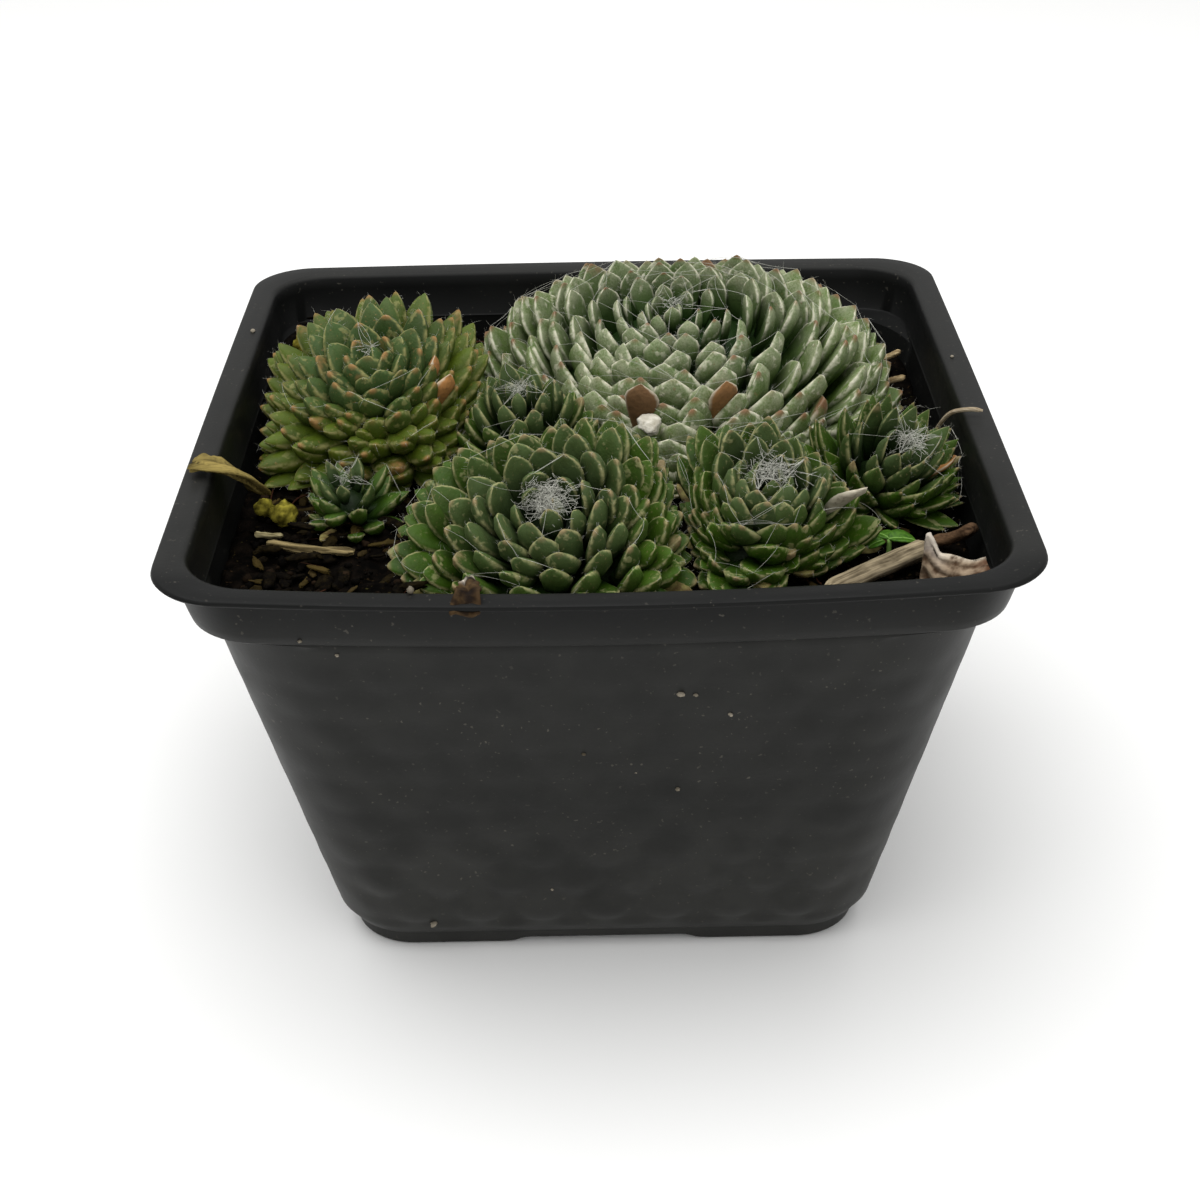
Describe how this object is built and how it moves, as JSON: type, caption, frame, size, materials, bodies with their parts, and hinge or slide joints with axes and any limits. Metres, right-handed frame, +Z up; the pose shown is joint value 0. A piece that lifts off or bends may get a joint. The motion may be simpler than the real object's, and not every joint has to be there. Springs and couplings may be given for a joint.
{
  "type": "potted succulent",
  "caption": "Cobweb houseleek rosettes with webbed fleshy leaves in a square black nursery pot with soil and dry debris.",
  "frame": {"origin": "on the ground under the middle of the pot", "axes": "+Z up, -Y towards the pot's bowed front face, +X to the right seen from the front"},
  "size_m": [0.0904, 0.0934, 0.0645],
  "materials": {
    "black_plastic": "satin black moulded plastic",
    "dark_soil": "damp dark potting mix",
    "leaf_green": "fleshy green leaf with pale hairs",
    "leaf_grey_green": "fleshy grey green leaf with pale woolly margin",
    "leaf_yellow_green": "fleshy yellow green leaf",
    "weathered_wood": "weathered dry wood",
    "brown_bark": "dark bark",
    "tan_bark": "dry tan bark",
    "pale_straw": "pale dry straw",
    "yellow_grit": "yellow mineral grain",
    "white_grit": "white mineral grain",
    "dry_leaf": "dry curled leaf",
    "seedling_green": "thin bright green leaf"
  },
  "bodies": {
    "root": {"pot": "black_plastic", "soil": "dark_soil", "rosette_large_back": "leaf_grey_green", "rosette_left": "leaf_yellow_green", "rosette_front_centre": "leaf_green", "rosette_front_right": "leaf_green", "rosette_right": "leaf_green", "rosette_small_middle": "leaf_green", "rosette_small_left": "leaf_green", "wood_stick": "weathered_wood", "bark_bit": "brown_bark", "bark_strip": "tan_bark", "straw_front_left": "pale_straw", "straw_short_left": "pale_straw", "straw_back_right": "tan_bark", "straw_right": "tan_bark", "dry_stalk": "pale_straw", "curled_dry_leaf": "dry_leaf", "leaf_scrap": "brown_bark", "seedling": "seedling_green", "yellow_lump_large": "yellow_grit", "yellow_lump_small": "yellow_grit", "yellow_lump_back": "yellow_grit", "white_grit": "white_grit"}
  },
  "joints": []
}
